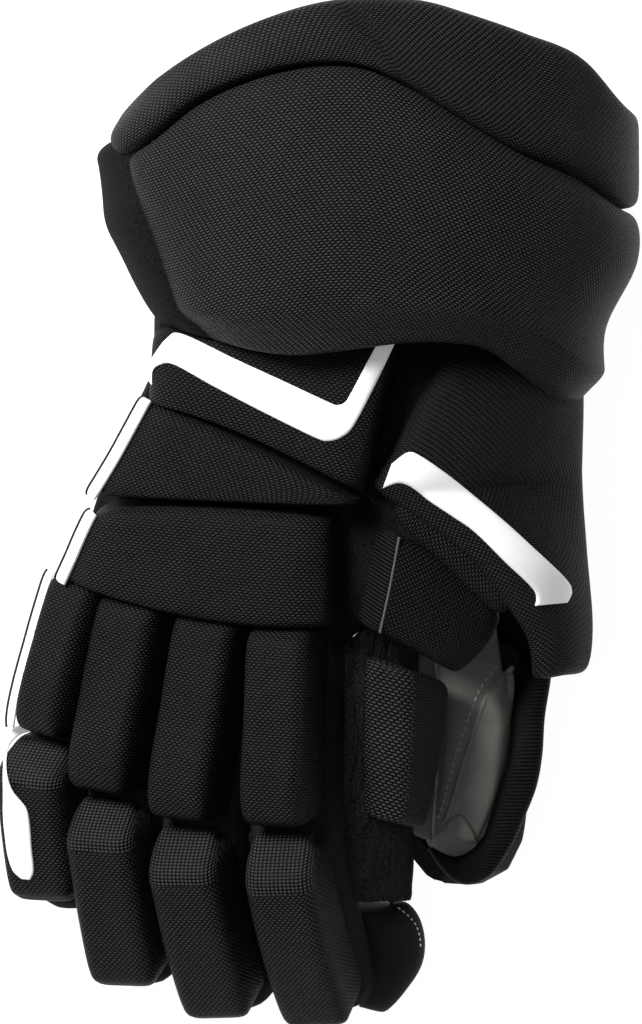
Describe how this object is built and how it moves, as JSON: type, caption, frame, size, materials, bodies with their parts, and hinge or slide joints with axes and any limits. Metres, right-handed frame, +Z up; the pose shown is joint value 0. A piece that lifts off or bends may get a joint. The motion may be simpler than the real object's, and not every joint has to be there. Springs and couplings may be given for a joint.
{
  "type": "ice hockey glove",
  "caption": "Padded ice hockey glove for the right hand, with a flared cuff, foam rolls over the back of the hand and fingers, and a thin palm.",
  "frame": {"origin": "under the middle of the glove's bounding box, on the surface that it lies on", "axes": "+X to the thumb side, +Y from the fingertips to the open end of the cuff, +Z up through the back of the hand"},
  "size_m": [0.2196, 0.3464, 0.1279],
  "materials": {
    "weave": "coarse basket weave",
    "knit": "fine knitted lining",
    "suede": "synthetic suede",
    "white_leather": "smooth synthetic leather"
  },
  "bodies": {
    "root": {"cuff_rim_roll": "weave", "cuff_front_panel": "weave", "cuff_side_panel": "knit", "cuff_palm_panel": "weave", "cuff_liner": "knit", "back_liner": "knit", "palm_leather": "suede", "wrist_liner": "knit", "index_stall": "suede", "index_near_roll": "weave", "index_tip_roll": "weave", "middle_stall": "suede", "middle_near_roll": "weave", "middle_tip_roll": "weave", "ring_stall": "suede", "ring_near_roll": "weave", "ring_tip_roll": "weave", "little_stall": "suede", "little_near_roll": "weave", "little_tip_roll": "weave", "backhand_upper_roll": "weave", "backhand_chevron": "white_leather", "backhand_wedge_roll": "weave", "knuckle_roll": "weave", "wedge_side_strip": "white_leather", "knuckle_side_strip": "white_leather", "little_near_strip": "white_leather", "little_tip_strip": "white_leather", "thumb_side_roll": "weave", "thumb_side_stripe": "white_leather", "index_gusset": "knit", "index_side_upper_roll": "weave", "index_side_lower_roll": "weave", "thumb_crotch_roll": "weave", "thumb_web": "suede", "index_tip_side": "weave", "thumb_stall": "suede", "thumb_shell": "weave"}
  },
  "joints": []
}
